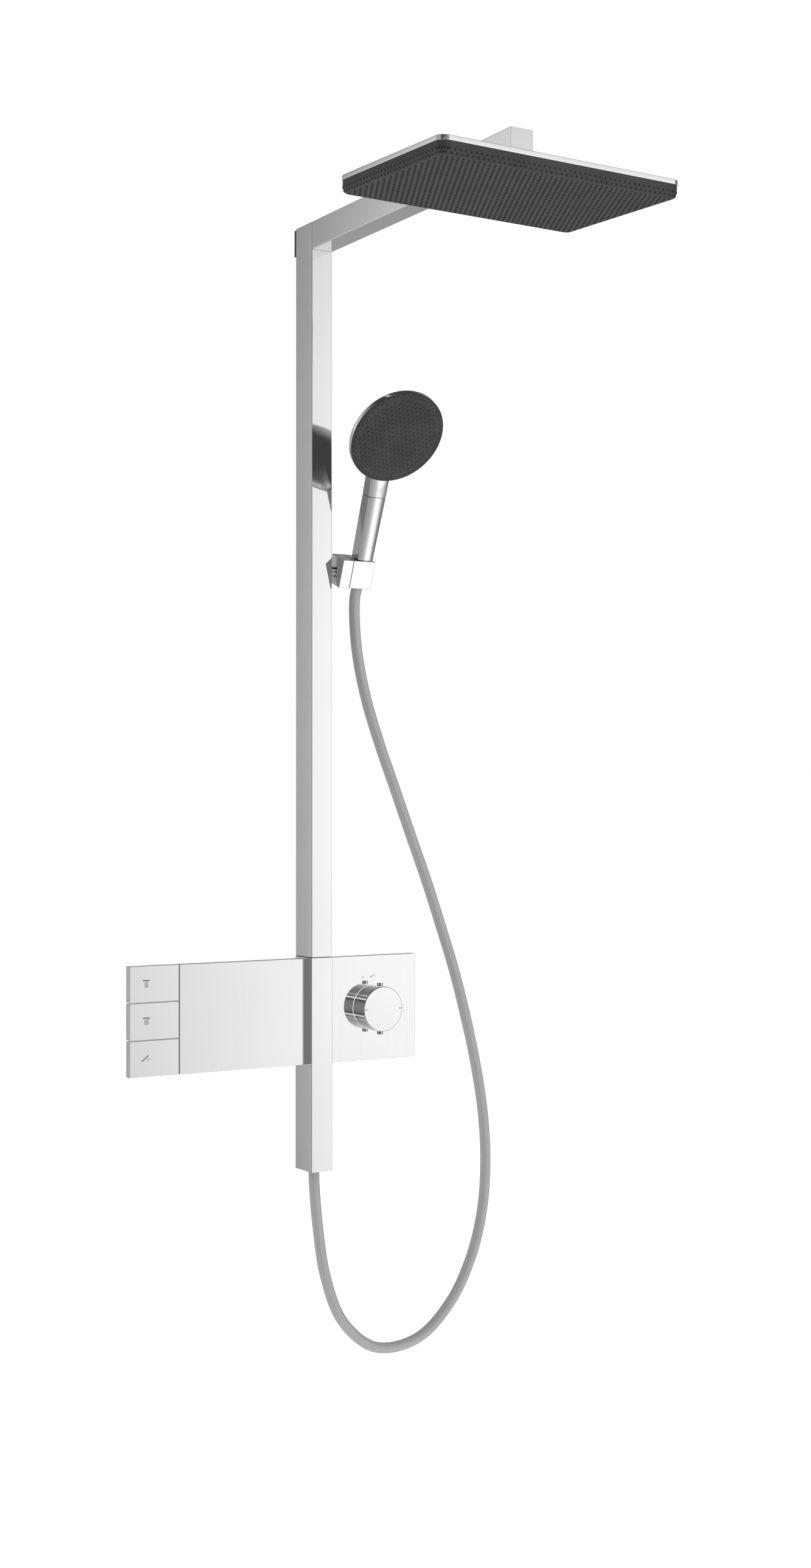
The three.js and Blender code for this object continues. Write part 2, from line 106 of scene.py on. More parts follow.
HOLDER_SPLIT = 38.8
HOLDER_RIGHT = 75
HOLDER_TOP = 20.3
HOLDER_BOTTOM = -21.4
HOLDER_FACE = -14.5
HOLDER_GAP = 0.15
HOLDER_REAR = 21.9
NECK_SEAM = 115
HEAD_RADIUS = 72
HEAD_RIM = 9.7

BALL_PLACE = Matrix.Translation(Vector((0, -537.4, 1104.5)) * MM)
PLATE_PLACE = BALL_PLACE @ Matrix.Rotation(math.radians(2.28), 4, "X")
HOLDER_CENTRE = Vector((60, -61.8, 643.9))
HOLDER_PLACE = Matrix.Translation(HOLDER_CENTRE * MM) @ Matrix.Rotation(
    math.radians(21.2), 4, "X"
)
HEAD_PLACE = (
    HOLDER_PLACE
    @ Matrix.Translation(Vector((0, -35.3, 208.1)) * MM)
    @ Matrix.Rotation(math.radians(17.7), 4, "X")
)
KNOB_PLACE = Matrix.Translation(Vector((KNOB_X, 0, KNOB_Z)) * MM)

HOSE_ROUTE = [
    (0, -31.1, -232.4),
    (1, -31.1, -256),
    (7, -31.1, -318),
    (20, -31.1, -392),
    (49, -31.1, -461),
    (106, -31.1, -507),
    (180, -31.1, -503),
    (238, -31.1, -457),
    (276, -31.1, -393),
    (297, -31.1, -321),
    (303, -31.1, -246),
    (298, -31.1, -171),
    (285, -31.1, -98),
    (267, -31.1, -25),
    (246, -31.1, 47),
    (221, -31.1, 118),
    (195, -31.1, 188),
    (167, -31.1, 257),
    (139, -31.1, 327),
    (111, -31.6, 396),
    (86, -33, 467),
    (68, -38, 540),
    (60.3, -46.6, 604),
    (60, -53.9, 623.4),
]


# Soft surroundings: bearing in degrees from straight ahead of the wall, and how light it is there.
SURROUND = [
    (-180, 0.36),
    (-155, 0.34),
    (-151, 0.36),
    (-149.5, 0.56),
    (-145.7, 0.92),
    (-136, 0.86),
    (-126, 0.45),
    (-75, 0.42),
    (-65, 0.28),
    (-62, 0.05),
    (-54, 0.05),
    (-50, 0.12),
    (-45, 0.14),
    (-33, 0.21),
    (-20, 0.26),
    (0, 0.32),
    (12, 0.42),
    (20, 0.58),
    (24.2, 0.70),
    (27.5, 0.86),
    (30.5, 0.96),
    (48, 0.97),
    (56, 0.80),
    (65, 0.38),
    (80, 0.20),
    (108, 0.16),
    (130, 0.24),
    (148, 0.40),
    (160, 0.38),
    (180, 0.36),
]


# Bright slits with dark frames to the left of straight ahead: height above or below, and level.
SLITS = [
    (0.0, 0.21),
    (0.22, 0.17),
    (0.29, 0.05),
    (0.34, 0.04),
    (0.345, 1.0),
    (0.385, 1.0),
    (0.39, 0.04),
    (0.43, 0.06),
    (0.46, 0.50),
    (1.0, 0.50),
]

SLITS_BEARING = -30
SLITS_REACH = 18
SLITS_FULL = 15

# Away from the horizon. A height is the Z part of a direction of length 1.
FADE_SLOPE = -3.2
FADE_LOWEST = 0.6
LOW_START = -0.33
LOW_END = -0.43
LOW_LEVEL = 1.05
SKY_START = 0.5
SKY_END = 0.85
SKY_LIGHT = (0.9, 0.9, 0.9, 1)
SKY_MIRRORED = (0.05, 0.05, 0.05, 1)
SURROUND_STRENGTH = 1.1


# Node helpers.
def new_material(name):
    material = bpy.data.materials.new(name)
    material.use_nodes = True
    nodes = material.node_tree.nodes
    links = material.node_tree.links
    return material, nodes, links, nodes["Principled BSDF"]


def object_noise(nodes, links, scale, stretch=(1, 1, 1), detail=3.0):
    place = nodes.new("ShaderNodeTexCoord")
    mapping = nodes.new("ShaderNodeMapping")
    mapping.inputs["Scale"].default_value = stretch
    noise = nodes.new("ShaderNodeTexNoise")
    noise.inputs["Scale"].default_value = scale
    noise.inputs["Detail"].default_value = detail
    links.new(place.outputs["Object"], mapping.inputs["Vector"])
    links.new(mapping.outputs["Vector"], noise.inputs["Vector"])
    return noise.outputs["Fac"]


def spread(nodes, links, value, low, high):
    remap = nodes.new("ShaderNodeMapRange")
    remap.inputs["From Min"].default_value = 0.3
    remap.inputs["From Max"].default_value = 0.7
    remap.inputs["To Min"].default_value = low
    remap.inputs["To Max"].default_value = high
    links.new(value, remap.inputs["Value"])
    return remap.outputs["Result"]


def rise(nodes, links, value, start, end):
    """0 at start, 1 at end, and held outside them."""
    remap = nodes.new("ShaderNodeMapRange")
    remap.inputs["From Min"].default_value = start
    remap.inputs["From Max"].default_value = end
    links.new(value, remap.inputs["Value"])
    return remap.outputs["Result"]


def bump(nodes, links, shader, height, strength, distance):
    node = nodes.new("ShaderNodeBump")
    node.inputs["Strength"].default_value = strength
    node.inputs["Distance"].default_value = distance
    links.new(height, node.inputs["Height"])
    links.new(node.outputs["Normal"], shader.inputs["Normal"])


def tinted(nodes, links, shader, value, low, high):
    ramp = nodes.new("ShaderNodeValToRGB")
    ramp.color_ramp.elements[0].position = 0.3
    ramp.color_ramp.elements[0].color = (*low, 1)
    ramp.color_ramp.elements[1].position = 0.7
    ramp.color_ramp.elements[1].color = (*high, 1)
    links.new(value, ramp.inputs["Fac"])
    links.new(ramp.outputs["Color"], shader.inputs["Base Color"])


def polished_chrome():
    material, nodes, links, shader = new_material("polished_chrome")
    shader.inputs["Metallic"].default_value = 1.0
    wipe = object_noise(nodes, links, 9.0, detail=4.0)
    tinted(nodes, links, shader, wipe, (0.87, 0.873, 0.871), (0.90, 0.903, 0.901))
    fine = object_noise(nodes, links, 45.0, detail=2.0)
    links.new(spread(nodes, links, fine, 0.03, 0.07), shader.inputs["Roughness"])
    return material


def satin_panel():
    material, nodes, links, shader = new_material("satin_panel")
    shader.inputs["Metallic"].default_value = 1.0
    tone = object_noise(nodes, links, 6.0, detail=2.0)
    tinted(nodes, links, shader, tone, (0.885, 0.889, 0.886), (0.92, 0.924, 0.921))
    grain = object_noise(nodes, links, 240.0, stretch=(1, 1, 0.03), detail=2.0)
    links.new(spread(nodes, links, grain, 0.07, 0.12), shader.inputs["Roughness"])
    bump(nodes, links, shader, grain, 0.02, 0.0001)
    return material


def satin_button():
    material = satin_panel()
    material.node_tree.nodes["Principled BSDF"].inputs["Metallic"].default_value = 0.85
    return material


def worn_pin():
    material, nodes, links, shader = new_material("worn_pin")
    shader.inputs["Metallic"].default_value = 1.0
    tone = object_noise(nodes, links, 200.0, detail=2.0)
    tinted(nodes, links, shader, tone, (0.62, 0.62, 0.63), (0.70, 0.70, 0.71))
    links.new(spread(nodes, links, tone, 0.12, 0.2), shader.inputs["Roughness"])
    return material


def graphite_plastic():
    material, nodes, links, shader = new_material("graphite_plastic")
    tone = object_noise(nodes, links, 25.0, detail=3.0)
    tinted(nodes, links, shader, tone, (0.044, 0.044, 0.046), (0.054, 0.054, 0.056))
    grain = object_noise(nodes, links, 1400.0, detail=2.0)
    links.new(spread(nodes, links, grain, 0.38, 0.5), shader.inputs["Roughness"])
    shader.inputs["Specular IOR Level"].default_value = 0.25
    bump(nodes, links, shader, grain, 0.08, 0.0002)
    return material


def nozzle_rubber():
    material, nodes, links, shader = new_material("nozzle_rubber")
    tone = object_noise(nodes, links, 300.0, detail=2.0)
    tinted(nodes, links, shader, tone, (0.008, 0.008, 0.009), (0.014, 0.014, 0.015))
    links.new(spread(nodes, links, tone, 0.55, 0.7), shader.inputs["Roughness"])
    return material


def black_plastic():
    material, nodes, links, shader = new_material("black_plastic")
    tone = object_noise(nodes, links, 120.0, detail=3.0)
    tinted(nodes, links, shader, tone, (0.008, 0.008, 0.009), (0.014, 0.014, 0.015))
    links.new(spread(nodes, links, tone, 0.45, 0.6), shader.inputs["Roughness"])
    bump(nodes, links, shader, tone, 0.1, 0.0003)
    return material


def machined_brass():
    material, nodes, links, shader = new_material("machined_brass")
    shader.inputs["Metallic"].default_value = 1.0
    tone = object_noise(nodes, links, 80.0, detail=3.0)
    tinted(nodes, links, shader, tone, (0.66, 0.50, 0.24), (0.76, 0.60, 0.32))
    links.new(spread(nodes, links, tone, 0.25, 0.4), shader.inputs["Roughness"])
    return material


def printed_ink(name, low, high):
    material, nodes, links, shader = new_material(name)
    tone = object_noise(nodes, links, 900.0, detail=2.0)
    tinted(nodes, links, shader, tone, low, high)
    links.new(spread(nodes, links, tone, 0.35, 0.5), shader.inputs["Roughness"])
    return material


def inked(name, colour, darkest, lightest):
    return printed_ink(name, tuple(c * darkest for c in colour),
                       tuple(c * lightest for c in colour))


def maths(nodes, links, operation, *values):
    node = nodes.new("ShaderNodeMath")
    node.operation = operation
    for socket, value in zip(node.inputs, values):
        if isinstance(value, (int, float)):
            socket.default_value = value
        else:
            links.new(value, socket)
    return node.outputs["Value"]


def woven_sleeve(columns, pitch):
    """Herringbone weave on the hose's own map: U goes round, V is the length in metres."""
    material, nodes, links, shader = new_material("woven_sleeve")
    uv = nodes.new("ShaderNodeUVMap")
    uv.uv_map = "weave"
    split = nodes.new("ShaderNodeSeparateXYZ")
    links.new(uv.outputs["UV"], split.inputs["Vector"])
    around = maths(nodes, links, "MULTIPLY", split.outputs["X"], columns)
    fold = maths(nodes, links, "MULTIPLY", maths(nodes, links, "PINGPONG", around, 1.0), 2.0)
    along = maths(nodes, links, "DIVIDE", split.outputs["Y"], pitch)
    slant = maths(nodes, links, "ADD", along, fold)
    strand = maths(nodes, links, "PINGPONG", slant, 0.5)
    ridge = maths(nodes, links, "MULTIPLY", strand, 2.0)
    valley = maths(nodes, links, "PINGPONG", around, 0.5)
    seam = maths(nodes, links, "SMOOTH_MIN", valley, 0.12, 0.1)
    height = maths(nodes, links, "ADD", ridge, maths(nodes, links, "MULTIPLY", seam, 3.0))
    threads = object_noise(nodes, links, 1800.0, detail=2.0)
    relief_and_groove_shade = maths(nodes, links, "MULTIPLY_ADD", threads, 0.35, height)
    # The relief also sets the colour. This is painted shade and painted highlight: darker in the
    # grooves between strands and along the seams between columns, and lighter on the strand
    # ridges. The fine thread noise adds random tone.
    tinted(nodes, links, shader, maths(nodes, links, "MULTIPLY", relief_and_groove_shade, 0.55),
           (0.42, 0.42, 0.425), (0.57, 0.57, 0.58))
    shader.inputs["Roughness"].default_value = 0.5
    shader.inputs["Metallic"].default_value = 0.35
    shader.inputs["Sheen Weight"].default_value = 0.25
    shader.inputs["Sheen Roughness"].default_value = 0.4
    bump(nodes, links, shader, relief_and_groove_shade, 0.45, 0.0005)
    return material


def pale_floor():
    material, nodes, links, shader = new_material("pale_floor")
    tone = object_noise(nodes, links, 2.0, detail=2.0)
    tinted(nodes, links, shader, tone, (0.93, 0.93, 0.93), (0.96, 0.96, 0.96))
    shader.inputs["Roughness"].default_value = 0.8
    shader.inputs["Emission Color"].default_value = (1, 1, 1, 1)
    shader.inputs["Emission Strength"].default_value = 0.6
    return material


MAKERS = {
    "chrome": polished_chrome,
    "satin_panel": satin_panel,
    "satin_button": satin_button,
    "pin": worn_pin,
    "graphite": graphite_plastic,
    "nozzle": nozzle_rubber,
    "black_plastic": black_plastic,
    "brass": machined_brass,
    "floor": pale_floor,
}


def finish_named(name):
    known = bpy.data.materials.get("finish_" + name)
    if known is None:
        known = MAKERS[name]()
        known.name = "finish_" + name
    return known


# Mesh helpers. Sizes are in millimetres and become metres in piece().
def piece(bm, name, body, material, replaced=(), place=None, sharp=35):
    bmesh.ops.remove_doubles(bm, verts=bm.verts, dist=0.0005)
    bmesh.ops.recalc_face_normals(bm, faces=bm.faces)
    bmesh.ops.scale(bm, vec=(MM, MM, MM), verts=bm.verts)
    if place is not None:
        bmesh.ops.transform(bm, matrix=place, verts=bm.verts)
    for face in bm.faces:
        face.smooth = True
    mesh = bpy.data.meshes.new(name)
    bm.to_mesh(mesh)
    bm.free()
    mesh.set_sharp_from_angle(angle=math.radians(sharp))
    made = settle(mesh, name, body, material, replaced)
    even = made.modifiers.new("even_shading", "WEIGHTED_NORMAL")
    even.keep_sharp = True
    return made


def settle(mesh, name, body, material, replaced=()):
    made = bpy.data.objects.new(name, mesh)
    bpy.context.scene.collection.objects.link(made)
    mesh.materials.clear()
    mesh.materials.append(material)
    if body is not None:
        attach(made, body)
    if replaced:
        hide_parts(*replaced)
    return made


def block(x0, x1, y0, y1, z0, z1):
    bm = bmesh.new()
    bmesh.ops.create_cube(bm, size=1)
    bmesh.ops.scale(bm, vec=(x1 - x0, y1 - y0, z1 - z0), verts=bm.verts)
    centre = ((x0 + x1) / 2, (y0 + y1) / 2, (z0 + z1) / 2)
    bmesh.ops.translate(bm, vec=centre, verts=bm.verts)
    return bm


def edges_along(bm, axis):
    others = [k for k in range(3) if k != axis]
    return [
        e
        for e in bm.edges
        if all(abs(e.verts[0].co[k] - e.verts[1].co[k]) < 1e-6 for k in others)
    ]


def round_edges(bm, edges, radius, segments=3):
    bmesh.ops.bevel(
        bm,
        geom=edges,
        offset=radius,
        offset_type="OFFSET",
        affect="EDGES",
        segments=segments,
        profile=0.5,
        material=-1,
        clamp_overlap=True,
    )


def turned(profile, axis=(0, 1, 0), steps=96):
    """A piece spun about axis from pairs of radius and height along it."""
    bm = bmesh.new()
    up = Vector(axis)
    out = Vector((0, 0, 1)) if abs(up.x) > 0.5 else Vector((1, 0, 0))
    verts = [bm.verts.new(out * r + up * h) for r, h in profile]
    edges = [bm.edges.new(pair) for pair in zip(verts, verts[1:])]
    bmesh.ops.spin(
        bm,
        geom=verts + edges,
        cent=(0, 0, 0),
        axis=axis,
        dvec=(0, 0, 0),
        angle=math.tau,
        steps=steps,
        use_merge=True,
    )
    bmesh.ops.remove_doubles(bm, verts=bm.verts, dist=0.0005)
    return bm


def lofted(sections):
    """A closed skin that is drawn out from the first section through the others."""
    bm = bmesh.new()
    first = [bm.verts.new(p) for p in sections[0]]
    base = bm.faces.new(first)
    top = base
    for section in sections[1:]:
        drawn = bmesh.ops.extrude_discrete_faces(bm, faces=[top])
        top = drawn["faces"][0]
        for vert, point in zip(top.verts, section):
            vert.co = point
    return bm


def bar(name, body, corners, along, radius, replaced, place=None):
    bm = block(*corners)
    round_edges(bm, edges_along(bm, along), radius, 4)
    ends = [e for e in bm.edges if e.calc_face_angle(0) > math.radians(60)]
    round_edges(bm, ends, 0.35, 2)
    return piece(bm, name, body, finish_named("chrome"), replaced, place)


# Settings.
class HoseSettings(bpy.types.PropertyGroup):
    diameter: bpy.props.FloatProperty(
        name="Diameter", description="Outer diameter of the woven sleeve",
        default=0.016, min=0.01, max=0.02, subtype="DISTANCE", unit="LENGTH",
    )
    columns: bpy.props.IntProperty(
        name="Weave columns", description="Columns of the herringbone round the hose",
        default=10, min=4, max=24,
    )
    pitch: bpy.props.FloatProperty(
        name="Weave pitch", description="Distance between strands along the hose",
        default=0.0034, min=0.002, max=0.01, subtype="DISTANCE", unit="LENGTH",
    )


class SpraySettings(bpy.types.PropertyGroup):
    pitch_x: bpy.props.FloatProperty(
        name="Pitch across", description="Distance between nozzles of one row, side to side",
        default=0.00758, subtype="DISTANCE", unit="LENGTH",
    )
    pitch_y: bpy.props.FloatProperty(
        name="Pitch front to back",
        description="Distance between nozzles of one row, front to back",
        default=0.01444, subtype="DISTANCE", unit="LENGTH",
    )
    nozzle: bpy.props.FloatProperty(
        name="Nozzle diameter", description="Diameter of a soft nozzle at its foot",
        default=0.0040, subtype="DISTANCE", unit="LENGTH",
    )
    nub_pitch: bpy.props.FloatProperty(
        name="Hand shower pitch", description="Distance between the nubs of the hand shower",
        default=0.0073, subtype="DISTANCE", unit="LENGTH",
    )
    nub: bpy.props.FloatProperty(
        name="Nub diameter", description="Diameter of a nub of the hand shower",
        default=0.0050, subtype="DISTANCE", unit="LENGTH",
    )


class MarkSettings(bpy.types.PropertyGroup):
    warm: bpy.props.FloatVectorProperty(
        name="Warm mark", description="Enamel of the warm mark on the knob",
        default=(0.45, 0.12, 0.12), size=3, min=0, max=1, subtype="COLOR",
    )
    cold: bpy.props.FloatVectorProperty(
        name="Cold mark", description="Enamel of the cold mark on the knob",
        default=(0.12, 0.13, 0.28), size=3, min=0, max=1, subtype="COLOR",
    )
    ink: bpy.props.FloatVectorProperty(
        name="Ink", description="Ink of the pictograms and of the panel's scale marks",
        default=(0.22, 0.22, 0.22), size=3, min=0, max=1, subtype="COLOR",
    )


# Stage.
class SHOWER_OT_stage(bpy.types.Operator):
    """Floor, soft studio surroundings, lights and camera"""

    bl_idname = "shower.stage"
    bl_label = "Stage"

    def execute(self, context):
        scene = context.scene
        scene.view_settings.view_transform = "Standard"
        camera = bpy.data.objects.new("camera", bpy.data.cameras.new("camera"))
        scene.collection.objects.link(camera)
        camera.data.sensor_width = 36
        camera.data.lens = 47.64
        camera.data.clip_end = 50
        camera.location = (-1.4855, -2.6903, 0.3194)
        camera.rotation_euler = (math.radians(90.253), 0, math.radians(-31.721))
        scene.camera = camera
        self.surround(scene)
        bm = bmesh.new()
        bmesh.ops.create_circle(bm, cap_ends=True, segments=96, radius=9000)
        bmesh.ops.scale(bm, vec=(MM, MM, MM), verts=bm.verts)
        bmesh.ops.translate(bm, vec=(0, 0, -1.05), verts=bm.verts)
        mesh = bpy.data.meshes.new("floor")
        bm.to_mesh(mesh)
        bm.free()
        floor = bpy.data.objects.new("floor", mesh)
        scene.collection.objects.link(floor)
        mesh.materials.append(finish_named("floor"))
        floor.visible_glossy = False
        self.lamp(scene, "key", (1.6, -2.4, 2.2), (0, 0, 0.4), 2.2, 25)
        return {"FINISHED"}

    def lamp(self, scene, name, where, towards, size, power):
        light = bpy.data.lights.new(name, "AREA")
        light.shape = "SQUARE"
        light.size = size
        light.energy = power
        made = bpy.data.objects.new(name, light)
        made.location = where
        aim = Vector(towards) - Vector(where)
        made.rotation_euler = aim.to_track_quat("-Z", "Y").to_euler()
        made.visible_glossy = False
        scene.collection.objects.link(made)

    def level_ramp(self, nodes, links, stops, value):
        node = nodes.new("ShaderNodeValToRGB")
        elements = node.color_ramp.elements
        while len(elements) < len(stops):
            elements.new(0.5)
        for element, (position, level) in zip(elements, stops):
            element.position = position
            element.color = (level, level, level, 1)
        links.new(value, node.inputs["Fac"])
        return node.outputs["Color"]

    def mixed(self, nodes, links, factor, first, second):
        node = nodes.new("ShaderNodeMix")
        node.data_type = "RGBA"
        links.new(factor, node.inputs["Factor"])
        for key, value in (("A", first), ("B", second)):
            if isinstance(value, tuple):
                node.inputs[key].default_value = value
            else:
                links.new(value, node.inputs[key])
        return node.outputs["Result"]

    def surround(self, scene):
        world = bpy.data.worlds.new("studio")
        scene.world = world
        world.use_nodes = True
        nodes = world.node_tree.nodes
        links = world.node_tree.links
        nodes.clear()
        place = nodes.new("ShaderNodeTexCoord")
        split = nodes.new("ShaderNodeSeparateXYZ")
        links.new(place.outputs["Generated"], split.inputs["Vector"])
        forward = maths(nodes, links, "MULTIPLY", split.outputs["Y"], -1.0)
        angle = maths(nodes, links, "ARCTAN2", split.outputs["X"], forward)
        turn = maths(nodes, links, "MULTIPLY_ADD", angle, 1 / math.tau, 0.5)
        stops = [(bearing / 360 + 0.5, level) for bearing, level in SURROUND]
        ring = self.level_ramp(nodes, links, stops, turn)
        steep = maths(nodes, links, "MULTIPLY", split.outputs["Z"], split.outputs["Z"])
        fade = maths(nodes, links, "MULTIPLY_ADD", steep, FADE_SLOPE, 1.0)
        fade = maths(nodes, links, "MAXIMUM", fade, FADE_LOWEST)
        low = rise(nodes, links, split.outputs["Z"], LOW_START, LOW_END)
        rest = maths(nodes, links, "SUBTRACT", LOW_LEVEL, fade)
        fade = maths(nodes, links, "MULTIPLY_ADD", rest, low, fade)
        dimmed = nodes.new("ShaderNodeMix")
        dimmed.data_type = "RGBA"
        dimmed.blend_type = "MULTIPLY"
        dimmed.inputs["Factor"].default_value = 1.0
        links.new(ring, dimmed.inputs["A"])
        links.new(fade, dimmed.inputs["B"])
        lift = rise(nodes, links, split.outputs["Z"], SKY_START, SKY_END)
        path = nodes.new("ShaderNodeLightPath")
        high = self.mixed(nodes, links, path.outputs["Is Glossy Ray"], SKY_LIGHT, SKY_MIRRORED)
        tall = maths(nodes, links, "ABSOLUTE", split.outputs["Z"])
        slits = self.level_ramp(nodes, links, SLITS, tall)
        from_slits = maths(nodes, links, "ADD", turn, -SLITS_BEARING / 360 - 0.5)
        aside = maths(nodes, links, "ABSOLUTE", from_slits)
        near = rise(nodes, links, aside, SLITS_REACH / 360, SLITS_FULL / 360)
        framed = self.mixed(nodes, links, near, dimmed.outputs["Result"], slits)
        sky = self.mixed(nodes, links, lift, framed, high)
        seen = nodes.new("ShaderNodeBackground")
        links.new(sky, seen.inputs["Color"])
        seen.inputs["Strength"].default_value = SURROUND_STRENGTH
        backdrop = nodes.new("ShaderNodeBackground")
        backdrop.inputs["Color"].default_value = (1, 1, 1, 1)
        mix = nodes.new("ShaderNodeMixShader")
        links.new(path.outputs["Is Camera Ray"], mix.inputs["Fac"])
        links.new(seen.outputs["Background"], mix.inputs[1])
        links.new(backdrop.outputs["Background"], mix.inputs[2])
        output = nodes.new("ShaderNodeOutputWorld")
        links.new(mix.outputs["Shader"], output.inputs["Surface"])


# Hose.
def route_points(route, per_span):
    """Points on a smooth centripetal curve through the route."""
    points = [Vector(p) for p in route]
    padded = [points[0] * 2 - points[1], *points, points[-1] * 2 - points[-2]]
    found = []
    for k in range(len(points) - 1):
        a, b, c, d = padded[k : k + 4]
        t1 = (b - a).length ** 0.5
        t2 = t1 + (c - b).length ** 0.5
        t3 = t2 + (d - c).length ** 0.5
        for step in range(per_span):
            t = t1 + (t2 - t1) * step / per_span
            ab = a.lerp(b, t / t1)
            bc = b.lerp(c, (t - t1) / (t2 - t1))
            cd = c.lerp(d, (t - t2) / (t3 - t2))
            abc = ab.lerp(bc, t / t2)
            bcd = bc.lerp(cd, (t - t1) / (t3 - t1))
            found.append(abc.lerp(bcd, (t - t1) / (t2 - t1)))
    found.append(points[-1])
    return found


class SHOWER_OT_hose(bpy.types.Operator):
    """Hose in a woven sleeve, from the outlet to the hand shower"""

    bl_idname = "shower.hose"
    bl_label = "Hose"

    def execute(self, context):
        settings = context.scene.shower_hose
        radius = settings.diameter / MM / 2
        route = route_points(HOSE_ROUTE, 12)
        sides = 32
        bm = bmesh.new()
        weave = bm.loops.layers.uv.new("weave")
        ring = bmesh.ops.create_circle(bm, segments=sides, radius=radius)["verts"]
        offsets = [v.co.copy() for v in ring]
        forward = (route[1] - route[0]).normalized()
        turn = Vector((0, 0, 1)).rotation_difference(forward)
        for vert, offset in zip(ring, offsets):
            vert.co = route[0] + turn @ offset
        travelled = 0.0
        for k in range(1, len(route)):
            ahead = route[min(k + 1, len(route) - 1)] - route[k - 1]
            step = (route[k] - route[k - 1]).length
            turn = forward.rotation_difference(ahead.normalized()) @ turn
            forward = ahead.normalized()
            new = []
            for offset in offsets:
                new.append(bm.verts.new(route[k] + turn @ offset))
            for i in range(sides):
                j = (i + 1) % sides
                face = bm.faces.new((ring[i], ring[j], new[j], new[i]))
                corners = [
                    (i / sides, travelled),
                    ((i + 1) / sides, travelled),
                    ((i + 1) / sides, travelled + step),
                    (i / sides, travelled + step),
                ]
                for loop, (u, v) in zip(face.loops, corners):
                    loop[weave].uv = (u, v * MM)
            ring = new
            travelled += step
        ends = [e for e in bm.edges if e.is_boundary]
        bmesh.ops.holes_fill(bm, edges=ends, sides=0)
        bmesh.ops.scale(bm, vec=(MM, MM, MM), verts=bm.verts)
        bmesh.ops.recalc_face_normals(bm, faces=bm.faces)
        for face in bm.faces:
            face.smooth = True
        mesh = bpy.data.meshes.new("woven_hose")
        bm.to_mesh(mesh)
        bm.free()
        mesh.set_sharp_from_angle(angle=math.radians(60))
        material = woven_sleeve(settings.columns, settings.pitch)
        hose = settle(mesh, "woven_hose", None, material, ["hose"])
        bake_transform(hose)
        return {"FINISHED"}


class SHOWER_OT_column(bpy.types.Operator):
    """Column tube, its lower housing and the seam between them"""

    bl_idname = "shower.column"
    bl_label = "Column"

    def execute(self, context):
        bar("column", "fixed",
            (-COLUMN_HALF, COLUMN_HALF, COLUMN_FRONT, COLUMN_BACK, COLUMN_SEAM + 0.5, COLUMN_TOP),
            2, 1.2, ["column_tube"])
        half = COLUMN_HALF + LOWER_GROWTH
        bar("column_foot", "fixed",
            (-half, half, COLUMN_FRONT - LOWER_GROWTH, COLUMN_BACK, COLUMN_BOTTOM,
             COLUMN_SEAM - 0.5),
            2, 1.2, ["column_lower_housing"]).visible_glossy = False
        seam = block(-16.2, 16.2, COLUMN_FRONT + 0.8, COLUMN_BACK - 0.8,
                     COLUMN_SEAM - 0.48, COLUMN_SEAM + 0.48)
        piece(seam, "column_seam_ring", "fixed", finish_named("black_plastic"))
        mouth = [(8.1, -0.2), (9.6, -0.2), (9.9, 0), (9.9, 1), (8.1, 1), (8.1, -0.2)]
        collar = turned([(r, COLUMN_BOTTOM + h) for r, h in mouth], axis=(0, 0, 1), steps=48)
        bmesh.ops.translate(collar, vec=(0, -31.15, 0), verts=collar.verts)
        piece(collar, "outlet_collar", "fixed", finish_named("chrome"), ["hose_outlet"])
        return {"FINISHED"}


class SHOWER_OT_arm(bpy.types.Operator):
    """Arm of the overhead plate and the block at the wall"""

    bl_idname = "shower.arm"
    bl_label = "Arm"

    def execute(self, context):
        bar("arm", "fixed",
            (-COLUMN_HALF, COLUMN_HALF, ARM_TIP, COLUMN_FRONT - 1, ARM_BOTTOM, COLUMN_TOP),
            1, 1.2, ["arm_tube"])
        wall = block(-15.6, 15.6, -6.7, 0, 1110.7, 1149.5)
        round_edges(wall, wall.edges[:], 0.5, 2)
        piece(wall, "wall_block", "fixed", finish_named("black_plastic"),
              ["wall_bracket_top"])
        return {"FINISHED"}


# Overhead plate.
def plate_outline(inset, height, depth):
    half_x = PLATE_HALF_X - inset
    half_y = PLATE_HALF_Y - inset
    bm = block(-half_x, half_x, -half_y, half_y, height - depth, height)
    round_edges(bm, edges_along(bm, 2), PLATE_CORNER - inset, 14)
    return bm


def face_pointing(bm, direction):
    return max(bm.faces, key=lambda f: f.normal.dot(Vector(direction)) * f.calc_area())


